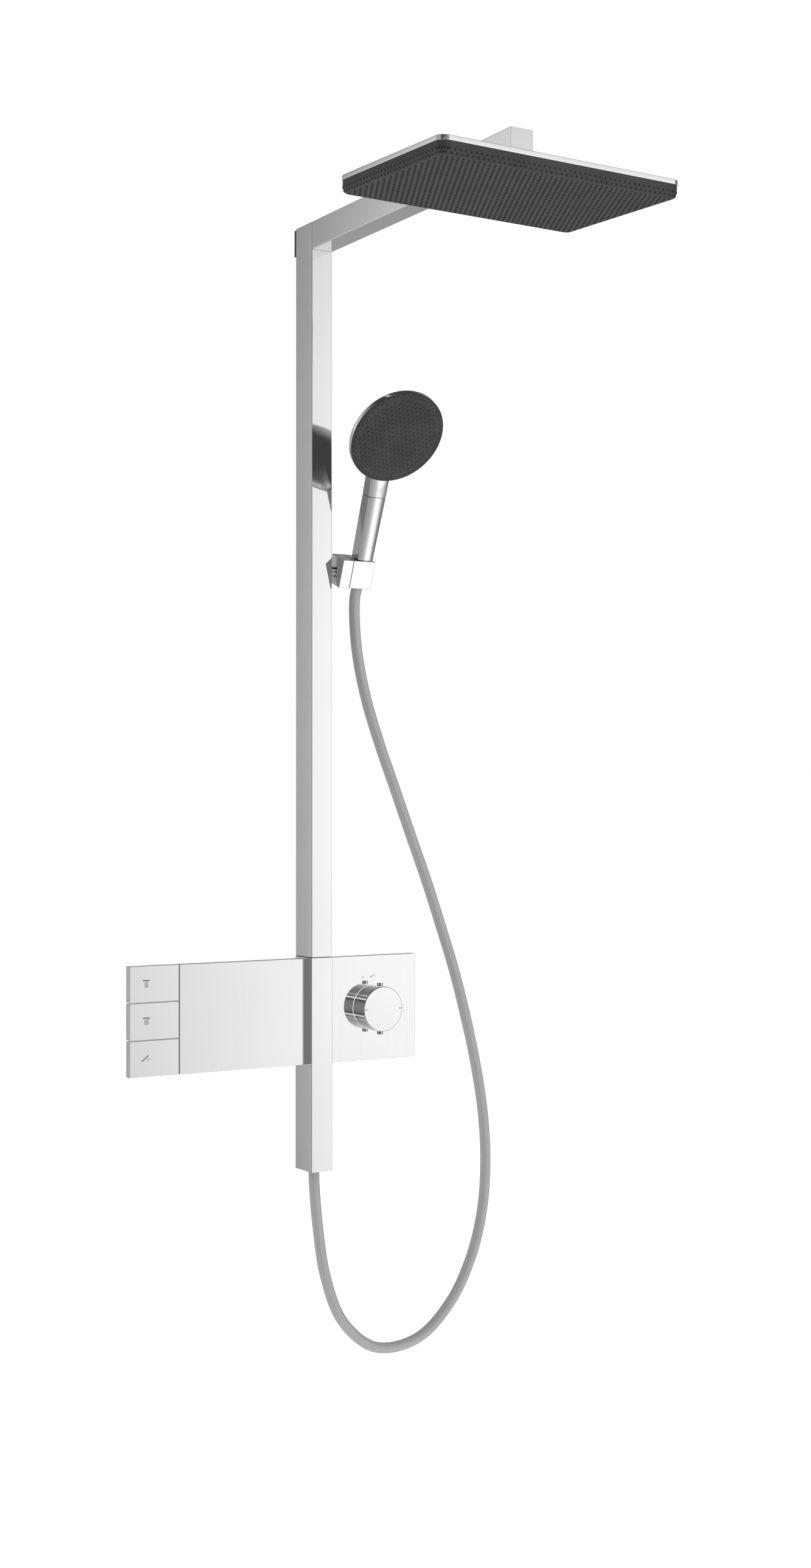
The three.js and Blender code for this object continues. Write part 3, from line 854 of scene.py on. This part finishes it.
class SHOWER_OT_overhead(bpy.types.Operator):
    """Overhead plate with its chrome band, graphite spray face and soft nozzles"""

    bl_idname = "shower.overhead"
    bl_label = "Overhead plate"

    def execute(self, context):
        settings = context.scene.shower_spray
        top = plate_outline(0, PLATE_TOP, BAND_HEIGHT)
        rims = [e for e in top.edges if e.calc_face_angle(0) > math.radians(60)]
        round_edges(top, rims, 0.7, 3)
        piece(top, "overhead_band", "overhead", finish_named("chrome"),
              ["overhead_top"], PLATE_PLACE)
        under = PLATE_TOP - BAND_HEIGHT - 0.05
        face = plate_outline(0.6, under, SPRAY_HEIGHT - SPRAY_ROUND)
        steps = 8
        for k in range(steps):
            a = math.radians(90 - 90 * k / steps)
            b = math.radians(90 - 90 * (k + 1) / steps)
            inward = SPRAY_INSET * (math.sin(a) - math.sin(b))
            down = SPRAY_ROUND * (math.cos(b) - math.cos(a))
            bottom = face_pointing(face, (0, 0, -1))
            bmesh.ops.inset_region(face, faces=[bottom], thickness=inward, depth=down,
                                   use_even_offset=True)
        piece(face, "overhead_spray", "overhead", finish_named("graphite"),
              ["overhead_spray_face"], PLATE_PLACE)
        self.nozzles(settings, under)
        socket = [(9, -5), (16.4, -5), (17, -4.4), (17, 5.7), (9, 5.7), (9, -5)]
        collar = [(5.2, -10.1), (13, -10.1), (13, -8.6), (12.4, -8.1), (5.2, -8.1), (5.2, -10.1)]
        for cad, profile, body, place in (
            ("ball_socket", socket, "fixed", BALL_PLACE),
            ("ball_collar", collar, "overhead", PLATE_PLACE),
        ):
            piece(turned(profile, axis=(0, 0, 1), steps=64), f"{cad}_ring", body,
                  finish_named("chrome"), [cad], place)
        return {"FINISHED"}

    def nozzles(self, settings, under):
        bm = bmesh.new()
        foot = settings.nozzle / MM / 2
        pitch_x = settings.pitch_x / MM
        pitch_y = settings.pitch_y / MM
        flat = under - SPRAY_HEIGHT
        down = Matrix.Rotation(math.pi, 4, "X")
        columns = int(2 * PLATE_HALF_X / pitch_x) + 1
        rows = int(2 * PLATE_HALF_Y / pitch_y) + 2
        for i in range(-columns, columns + 1):
            for j in range(-rows, rows + 1):
                x = i * pitch_x / 2
                y = (j + (0.5 if i % 2 else 0)) * pitch_y
                if self.inside(x, y, 8.6):
                    spot = Matrix.Translation((x, y, flat - 0.2))
                    bmesh.ops.create_cone(bm, cap_ends=True, segments=10, radius1=foot,
                                          radius2=foot * 0.72, depth=0.8, matrix=spot @ down)
        for angle, offset in ((77, 0.0), (40, 0.5)):
            lean = math.radians(angle)
            inset = 0.6 + SPRAY_INSET * (1 - math.sin(lean))
            height = flat + SPRAY_ROUND * (1 - math.cos(lean))
            for x, y, outward in self.rim(inset, pitch_x, pitch_y / 2, offset):
                side = math.sin(lean)
                axis = Vector((outward.x * side, outward.y * side, -math.cos(lean)))
                turn = Vector((0, 0, 1)).rotation_difference(axis).to_matrix().to_4x4()
                spot = Matrix.Translation((x, y, height)) @ turn
                bmesh.ops.create_cone(bm, cap_ends=True, segments=8, radius1=foot * 0.8,
                                      radius2=foot * 0.6, depth=0.6, matrix=spot)
        piece(bm, "overhead_nozzles", "overhead", finish_named("nozzle"), (),
              PLATE_PLACE, sharp=50)

    def inside(self, x, y, inset):
        corner = PLATE_CORNER - inset
        dx = abs(x) - (PLATE_HALF_X - inset - corner)
        dy = abs(y) - (PLATE_HALF_Y - inset - corner)
        return math.hypot(max(dx, 0), max(dy, 0)) + min(max(dx, dy), 0) <= corner

    def rim(self, inset, pitch_x, pitch_y, offset):
        half_x = PLATE_HALF_X - inset
        half_y = PLATE_HALF_Y - inset
        corner = PLATE_CORNER - inset
        spots = []
        count = int((half_y - corner) / pitch_y) + 1
        for j in range(-count, count + 1):
            y = (j + offset) * pitch_y
            if abs(y) <= half_y - corner:
                spots.append((half_x, y, Vector((1, 0))))
                spots.append((-half_x, y, Vector((-1, 0))))
        count = int((half_x - corner) / pitch_x) + 1
        for i in range(-count, count + 1):
            x = (i + offset) * pitch_x
            if abs(x) <= half_x - corner:
                spots.append((x, half_y, Vector((0, 1))))
                spots.append((x, -half_y, Vector((0, -1))))
        for sx in (-1, 1):
            for sy in (-1, 1):
                for k in range(5 if offset == 0 else 4):
                    a = math.radians(9 + 18 * (k + offset))
                    outward = Vector((sx * math.cos(a), sy * math.sin(a)))
                    spots.append((sx * (half_x - corner) + outward.x * corner,
                                  sy * (half_y - corner) + outward.y * corner, outward))
        return spots


# Panel and buttons.
def panel_plate(name, body, x0, x1, z0, z1, replaced, finish="satin_panel"):
    bm = block(x0, x1, PANEL_FRONT, PANEL_BACK, z0, z1)
    front = [e for e in bm.edges if min(v.co.y for v in e.verts) < PANEL_FRONT + 1]
    round_edges(bm, front, 0.7, 3)
    return piece(bm, name, body, finish_named(finish), replaced)


class SHOWER_OT_panel(bpy.types.Operator):
    """Panel plates beside the column and the scale marks above the knob"""

    bl_idname = "shower.panel"
    bl_label = "Panel"

    def execute(self, context):
        channel = COLUMN_HALF + LOWER_GROWTH + 0.3
        panel_plate("panel_plate_left", "fixed", BUTTON_RIGHT + BUTTON_GAP, -channel,
                    -PANEL_HALF_HEIGHT, PANEL_HALF_HEIGHT, ["panel_left"])
        # The right plate runs on inside the column foot, where nothing shows of it.
        panel_plate("panel_plate_right", "fixed", PANEL_IN_FOOT, PANEL_RIGHT,
                    -PANEL_HALF_HEIGHT, PANEL_HALF_HEIGHT, ["panel_right"])
        self.housing(channel)
        ink = inked("finish_ink", context.scene.shower_marks.ink, 0.85, 1.15)
        self.write("mark_plus", "+", 84.2, 45.4, 6.5, 0, ink)
        self.write("mark_scale", "40°C", 100.5, 46.6, 4.9, 20, ink)
        self.write("mark_minus", "–", 117.0, 45.4, 6.5, 0, ink)
        return {"FINISHED"}

    def housing(self, channel):
        """The housing behind the panel, as one outline drawn up along Z."""
        left, right = PANEL_LEFT + HOUSING_INSET, PANEL_RIGHT - HOUSING_INSET
        half = PANEL_HALF_HEIGHT - HOUSING_INSET
        pad, back, step = PANEL_BACK + 0.3, COLUMN_BACK + 0.3, HOUSING_STEP
        outline = [(left, 0), (right, 0), (right, pad), (channel, pad), (channel, back),
                   (-channel, back), (-channel, pad), (BUTTON_RIGHT + 4, pad),
                   (BUTTON_RIGHT + 4, step), (left, step)]
        bm = lofted([[Vector((x, y, z)) for x, y in outline] for z in (-half, half)])
        bmesh.ops.recalc_face_normals(bm, faces=bm.faces)
        round_edges(bm, edges_along(bm, 2), 0.5, 2)
        piece(bm, "housing_shell", "fixed", finish_named("black_plastic"),
              ["wall_housing"]).visible_glossy = False

    def write(self, name, words, x, z, size, tilt, material):
        curve = bpy.data.curves.new(name, "FONT")
        curve.body = words
        curve.size = size * MM
        curve.extrude = 0.00003
        curve.align_x = "CENTER"
        curve.align_y = "CENTER"
        text = bpy.data.objects.new(name + "_text", curve)
        bpy.context.scene.collection.objects.link(text)
        bpy.context.view_layer.update()
        graph = bpy.context.evaluated_depsgraph_get()
        mesh = bpy.data.meshes.new_from_object(text.evaluated_get(graph))
        bpy.data.objects.remove(text)
        place = Matrix.Translation(Vector((x, PANEL_FRONT - 0.03, z)) * MM)
        upright = (Matrix.Rotation(math.pi / 2, 4, "X")
                   @ Matrix.Rotation(math.radians(tilt), 4, "Z"))
        mesh.transform(place @ upright)
        settle(mesh, name, "fixed", material)


class SHOWER_OT_buttons(bpy.types.Operator):
    """Three push buttons with their pictograms"""

    bl_idname = "shower.buttons"
    bl_label = "Push buttons"

    def execute(self, context):
        colour = context.scene.shower_marks.ink
        dark = inked("finish_pictogram", colour, 0.45, 0.7)
        pale = inked("finish_pictogram_spray", colour, 1.9, 2.2)
        for row, place in enumerate(("top", "middle", "bottom")):
            middle = (1 - row) * BUTTON_PITCH
            high = PANEL_HALF_HEIGHT if row == 0 else middle + (BUTTON_PITCH - BUTTON_GAP) / 2
            low = -PANEL_HALF_HEIGHT if row == 2 else middle - (BUTTON_PITCH - BUTTON_GAP) / 2
            body = f"button_{place}"
            panel_plate(f"push_{place}", body, PANEL_LEFT, BUTTON_RIGHT, low, high, [body],
                        "satin_button")
            outline, spray = self.strokes(row)
            layers = (("pictogram", outline, dark), ("pictogram_spray", spray, pale))
            for name, strokes, ink in layers:
                bm = bmesh.new()
                for stroke in strokes:
                    self.stroke(bm, *stroke, middle)
                piece(bm, f"{name}_{place}", body, ink)
        return {"FINISHED"}

    def strokes(self, row):
        """Centre x, centre z above the button's middle, length, width and angle of each stroke."""
        if row == 0:
            return [(-267.9, 4.9, 10.4, 1.6, 0)], [(-267.9, -1.05, 5.4, 8.3, 0)]
        if row == 1:
            return [(-267.8, 4.9, 10.4, 1.6, 0)], [(-267.75, -0.85, 7.3, 7.9, 0)]
        fan = []
        for angle in (-20, -35, -50, -65, -80):
            out = math.radians(angle)
            fan.append((-267 + 4.5 * math.cos(out), 2.3 + 4.5 * math.sin(out), 4.6, 0.5, angle))
        return [(-269.95, 1.0, 13.3, 1.5, 39.2)], fan

    def stroke(self, bm, x, z, length, width, angle, middle):
        made = bmesh.ops.create_cube(bm, size=1)["verts"]
        bmesh.ops.scale(bm, vec=(length, 0.08, width), verts=made)
        bmesh.ops.rotate(bm, cent=(0, 0, 0), matrix=Matrix.Rotation(-math.radians(angle), 3, "Y"),
                         verts=made)
        bmesh.ops.translate(bm, vec=(x, PANEL_FRONT - 0.02, middle + z), verts=made)


class SHOWER_OT_thermostat(bpy.types.Operator):
    """Flow ring, plain band and temperature knob with their cross pins and marks"""

    bl_idname = "shower.thermostat"
    bl_label = "Thermostat"

    def execute(self, context):
        chrome = finish_named("chrome")
        r = KNOB_RADIUS
        ring = turned([(HUB, RING_FRONT), (r - 0.4, RING_FRONT), (r - 0.1, -57.3), (r, -57.0),
                       (r, -32.0), (r - 0.4, RING_BACK), (HUB, RING_BACK), (HUB, RING_FRONT)],
                      steps=128)
        shown = [piece(ring, "flow_ring_shell", "flow_ring", chrome, ["flow_ring"],
                       KNOB_PLACE)]
        sleeve = turned([(0, -84.5), (SPINDLE - 0.5, -84.5), (SPINDLE, -84), (SPINDLE, -66.3),
                         (SLEEVE - 0.5, -66.3), (SLEEVE, -65.8), (SLEEVE, PANEL_BACK),
                         (0, PANEL_BACK)], steps=72)
        shown.append(piece(sleeve, "sleeve_body", "fixed", finish_named("brass"),
                           ["thermostat_sleeve"], KNOB_PLACE))
        band = turned([(HUB, BAND_FRONT), (r - 0.8, BAND_FRONT), (r - 0.3, -65.7),
                       (r - 0.3, -58.9), (r - 0.8, BAND_BACK), (HUB, BAND_BACK),
                       (HUB, BAND_FRONT)], steps=128)
        shown.append(piece(band, "plain_band", "fixed", chrome, ["thermostat_band"],
                           KNOB_PLACE))
        cap = turned([(0, CAP_FRONT), (r - 1.4, CAP_FRONT), (r - 0.8, -90.25), (r - 0.25, -89.7),
                      (r, -89.0), (r, -67.8), (r - 0.6, CAP_BACK), (r - 3, CAP_BACK),
                      (r - 3, -86), (0, -86)], steps=128)
        shown.append(piece(cap, "temperature_cap", "temperature_knob", chrome,
                           ["temperature_knob"], KNOB_PLACE))
        for owner, body, depth in (("flow", "flow_ring", -37.9),
                                   ("knob", "temperature_knob", -80.8)):
            for place, sign in (("top", 1), ("bottom", -1)):
                pin = turned([(0, -1.2), (PIN_RADIUS, -1.2), (PIN_RADIUS, 4.2), (4.05, 4.6),
                              (3.6, PIN_RISE), (0, PIN_RISE)], axis=(0, 0, 1), steps=40)
                turn = Matrix.Rotation(0 if sign > 0 else math.pi, 4, "X")
                spot = Matrix.Translation(Vector((0, depth, sign * r)) * MM)
                shown.append(piece(pin, f"{owner}_cross_pin_{place}", body,
                                   finish_named("pin"), [f"{owner}_pin_{place}"],
                                   KNOB_PLACE @ spot @ turn))
        for made in shown:
            made.visible_glossy = False
        marks = context.scene.shower_marks
        for name, colour, sign in (("warm", marks.warm, -1), ("cold", marks.cold, 1)):
            enamel = inked(f"finish_{name}_enamel", colour, 0.8, 1.0)
            inner, outer = sign * (r - 6.2), sign * (r - 1.5)
            tick = block(min(inner, outer), max(inner, outer), -90.46, -90.2, -0.45, 0.45)
            piece(tick, f"mark_{name}", "temperature_knob", enamel, (), KNOB_PLACE)
        return {"FINISHED"}


class SHOWER_OT_holder(bpy.types.Operator):
    """Fixed and tilting halves of the hand shower's holder"""

    bl_idname = "shower.holder"
    bl_label = "Holder"

    def execute(self, context):
        chrome = finish_named("chrome")
        base = block(HOLDER_LEFT - 60, HOLDER_SPLIT - 60 - HOLDER_GAP, HOLDER_FACE, HOLDER_REAR,
                     HOLDER_BOTTOM, HOLDER_TOP)
        round_edges(base, base.edges[:], 0.8, 3)
        piece(base, "holder_fixed_half", "fixed", chrome, ["holder_base"], HOLDER_PLACE)
        post = turned([(0, 17.3), (8, 17.3), (8, 26), (0, 26)], axis=(1, 0, 0), steps=40)
        bmesh.ops.translate(post, vec=(0, -44, HOLDER_CENTRE.z), verts=post.verts)
        piece(post, "holder_post", "fixed", chrome, ["holder_stud"])
        self.clamp(chrome)
        return {"FINISHED"}

    def clamp(self, chrome):
        body = block(HOLDER_SPLIT - 60 + HOLDER_GAP, HOLDER_RIGHT - 60, HOLDER_FACE, HOLDER_REAR,
                     HOLDER_BOTTOM, HOLDER_TOP)
        round_edges(body, body.edges[:], 0.8, 3)
        clamp = piece(body, "holder_tilting_half", "holder_clamp", chrome,
                      ["holder_clamp"], HOLDER_PLACE)
        seat = turned([(0, -30), (10.1, -30), (11.9, 30), (0, 30)], axis=(0, 0, 1), steps=72)
        slot = block(-8.6, 8.6, 0, 30, -30, 30)
        for name, tool in (("seat", seat), ("slot", slot)):
            cutter = piece(tool, f"cutter_{name}", "holder_clamp", chrome, (),
                           HOLDER_PLACE)
            cut = clamp.modifiers.new(name, "BOOLEAN")
            cut.operation = "DIFFERENCE"
            cut.solver = "EXACT"
            cut.object = cutter
        bpy.context.view_layer.update()
        graph = bpy.context.evaluated_depsgraph_get()
        mesh = bpy.data.meshes.new_from_object(clamp.evaluated_get(graph))
        clamp.modifiers.clear()
        clamp.data = mesh
        for name in ("cutter_seat", "cutter_slot"):
            bpy.data.objects.remove(bpy.data.objects[name])


# Hand shower.
def handle_section(z, front_half, back_half, front, back):
    """A rounded D: a bowed front between two flat sides, and a fuller back."""
    points = []
    steps = 16
    for i in range(steps + 1):
        t = -1 + 2 * i / steps
        points.append(Vector((front_half * t, front - 2.6 * (1 - t * t), z)))
    for i in range(steps + 1):
        t = 1 - 2 * i / steps
        points.append(Vector((back_half * t, back + 3.4 * (1 - t * t), z)))
    return points


class SHOWER_OT_handset(bpy.types.Operator):
    """Hand shower: handle, neck, head shell and spray face with its nubs"""

    bl_idname = "shower.handset"
    bl_label = "Hand shower"

    def execute(self, context):
        chrome = finish_named("chrome")
        low = HOLDER_TOP + 0.4
        handle = lofted([
            handle_section(low, 12.0, 14.0, -8.8, 6.8),
            handle_section(low + 0.4, 12.4, 14.4, -9, 7),
            handle_section(NECK_SEAM - 0.8, 14.4, 15.6, -8.6, 7.2),
            handle_section(NECK_SEAM - 0.3, 14.0, 15.2, -8.3, 6.9),
        ])
        piece(handle, "hand_shower_handle", "handset", chrome, ["handset_handle"],
              HOLDER_PLACE)
        neck = lofted([
            handle_section(NECK_SEAM + 0.3, 14.0, 15.2, -8.3, 6.9),
            handle_section(NECK_SEAM + 0.8, 14.4, 15.6, -8.6, 7.2),
            handle_section(126, 14.8, 15.8, -8.2, 7.4),
            handle_section(138, 15.2, 16, -7.6, 7.4),
            handle_section(149, 15.9, 16.5, -8.4, 6.6),
            handle_section(160, 16.4, 16.8, -10, 5.2),
            handle_section(173, 15.9, 16.1, -13.6, 1.2),
            handle_section(186, 15, 15, -18, -4),
        ])
        piece(neck, "hand_shower_neck", "handset", chrome, (), HOLDER_PLACE)
        seam = lofted([handle_section(NECK_SEAM - 0.4, 13.4, 14.6, -7.9, 6.5),
                       handle_section(NECK_SEAM + 0.4, 13.4, 14.6, -7.9, 6.5)])
        piece(seam, "neck_seam", "handset", finish_named("black_plastic"), (),
              HOLDER_PLACE)
        r = HEAD_RADIUS
        shell = turned([(0, 3), (r - 0.7, 3), (r - 0.2, 3.2), (r, 3.7), (r, HEAD_RIM - 0.8),
                        (r - 0.5, HEAD_RIM + 0.4), (r - 1.6, HEAD_RIM + 1.5),
                        (r - 5, HEAD_RIM + 3.0), (r - 10, HEAD_RIM + 4.6),
                        (r - 18, HEAD_RIM + 7.0), (r - 28, HEAD_RIM + 9.6),
                        (r - 38, HEAD_RIM + 11.7), (r - 48, HEAD_RIM + 13.1),
                        (r - 60, HEAD_RIM + 14.1),
                        (0, HEAD_RIM + 14.5)], steps=160)
        piece(shell, "hand_shower_shell", "handset", chrome, ["handset_head_shell"],
              HEAD_PLACE)
        face = turned([(0, 0), (r - 9, 0), (r - 6, 0.12), (r - 3.6, 0.45), (r - 1.8, 1.0),
                       (r - 0.6, 1.8), (r, 2.7), (r - 0.3, 2.95), (0, 2.95)], steps=160)
        piece(face, "hand_shower_face", "handset", finish_named("graphite"),
              ["handset_spray_face"], HEAD_PLACE)
        self.nubs(context.scene.shower_spray)
        return {"FINISHED"}

    def nubs(self, settings):
        pitch = settings.nub_pitch / MM
        radius = settings.nub / MM / 2
        bm = bmesh.new()
        reach = int(HEAD_RADIUS / pitch) + 2
        swing = math.radians(-5)
        for i in range(-2 * reach, 2 * reach + 1):
            for j in range(-reach, reach + 1):
                across = (i + j / 2) * pitch
                up = j * pitch * math.sqrt(3) / 2
                x = across * math.cos(swing) - up * math.sin(swing)
                z = across * math.sin(swing) + up * math.cos(swing)
                if math.hypot(x, z) < HEAD_RADIUS - 10.5:
                    flat = Matrix.Diagonal((radius, 1.15, radius, 1))
                    bmesh.ops.create_uvsphere(bm, u_segments=10, v_segments=6, radius=1,
                                              matrix=Matrix.Translation((x, 0, z)) @ flat)
        piece(bm, "hand_shower_nubs", "handset", finish_named("graphite"), (),
              HEAD_PLACE, sharp=80)
        pin = bmesh.new()
        for ring, count, lift in ((HEAD_RADIUS - 6.5, 54, 0.1), (HEAD_RADIUS - 2.9, 54, 0.62)):
            for k in range(count):
                a = math.tau * (k + (0.5 if lift > 0.3 else 0)) / count
                spot = Matrix.Translation((ring * math.cos(a), lift, ring * math.sin(a)))
                bmesh.ops.create_cone(pin, cap_ends=True, segments=8, radius1=0.95, radius2=0.95,
                                      depth=0.5,
                                      matrix=spot @ Matrix.Rotation(math.pi / 2, 4, "X"))
        piece(pin, "hand_shower_rim_nozzles", "handset", finish_named("nozzle"), (),
              HEAD_PLACE)


class SHOWER_OT_fittings(bpy.types.Operator):
    """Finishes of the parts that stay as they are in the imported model"""

    bl_idname = "shower.fittings"
    bl_label = "Hidden fittings"

    def execute(self, context):
        slots = {row["node"]: row["material_slot"] for row in frame["record"]["subparts"]}
        for name, node in frame["nodes"].items():
            if not node.hide_render:
                node.data.materials.clear()
                node.data.materials.append(finish_named(slots[name]))
        return {"FINISHED"}


class SHOWER_PT_panel(bpy.types.Panel):
    """Lists the pieces of the shower column"""

    bl_idname = "SHOWER_PT_panel"
    bl_label = "Shower column"
    bl_space_type = "VIEW_3D"
    bl_region_type = "UI"
    bl_category = "Shower column"

    def draw(self, context):
        layout = self.layout
        scene = context.scene
        for operator in OPERATORS:
            layout.operator(operator.bl_idname)
        for label, group in (
            ("Hose", scene.shower_hose),
            ("Spray faces", scene.shower_spray),
            ("Marks", scene.shower_marks),
        ):
            box = layout.box()
            box.label(text=label)
            for key in group.__annotations__:
                box.prop(group, key)


SETTINGS = {
    "shower_hose": HoseSettings,
    "shower_spray": SpraySettings,
    "shower_marks": MarkSettings,
}
OPERATORS = (
    SHOWER_OT_stage,
    SHOWER_OT_hose,
    SHOWER_OT_column,
    SHOWER_OT_arm,
    SHOWER_OT_overhead,
    SHOWER_OT_panel,
    SHOWER_OT_buttons,
    SHOWER_OT_thermostat,
    SHOWER_OT_holder,
    SHOWER_OT_handset,
    SHOWER_OT_fittings,
)


def register():
    for group in SETTINGS.values():
        bpy.utils.register_class(group)
    for operator in OPERATORS:
        bpy.utils.register_class(operator)
    bpy.utils.register_class(SHOWER_PT_panel)
    for name, group in SETTINGS.items():
        setattr(bpy.types.Scene, name, bpy.props.PointerProperty(type=group))


def unregister():
    for name in SETTINGS:
        delattr(bpy.types.Scene, name)
    bpy.utils.unregister_class(SHOWER_PT_panel)
    for operator in reversed(OPERATORS):
        bpy.utils.unregister_class(operator)
    for group in reversed(SETTINGS.values()):
        bpy.utils.unregister_class(group)


def main():
    register()
    bpy.ops.shower.stage()
    bpy.ops.shower.hose()
    bpy.ops.shower.column()
    bpy.ops.shower.arm()
    bpy.ops.shower.overhead()
    bpy.ops.shower.panel()
    bpy.ops.shower.buttons()
    bpy.ops.shower.thermostat()
    bpy.ops.shower.holder()
    bpy.ops.shower.handset()
    bpy.ops.shower.fittings()


if __name__ == "__main__":
    main()
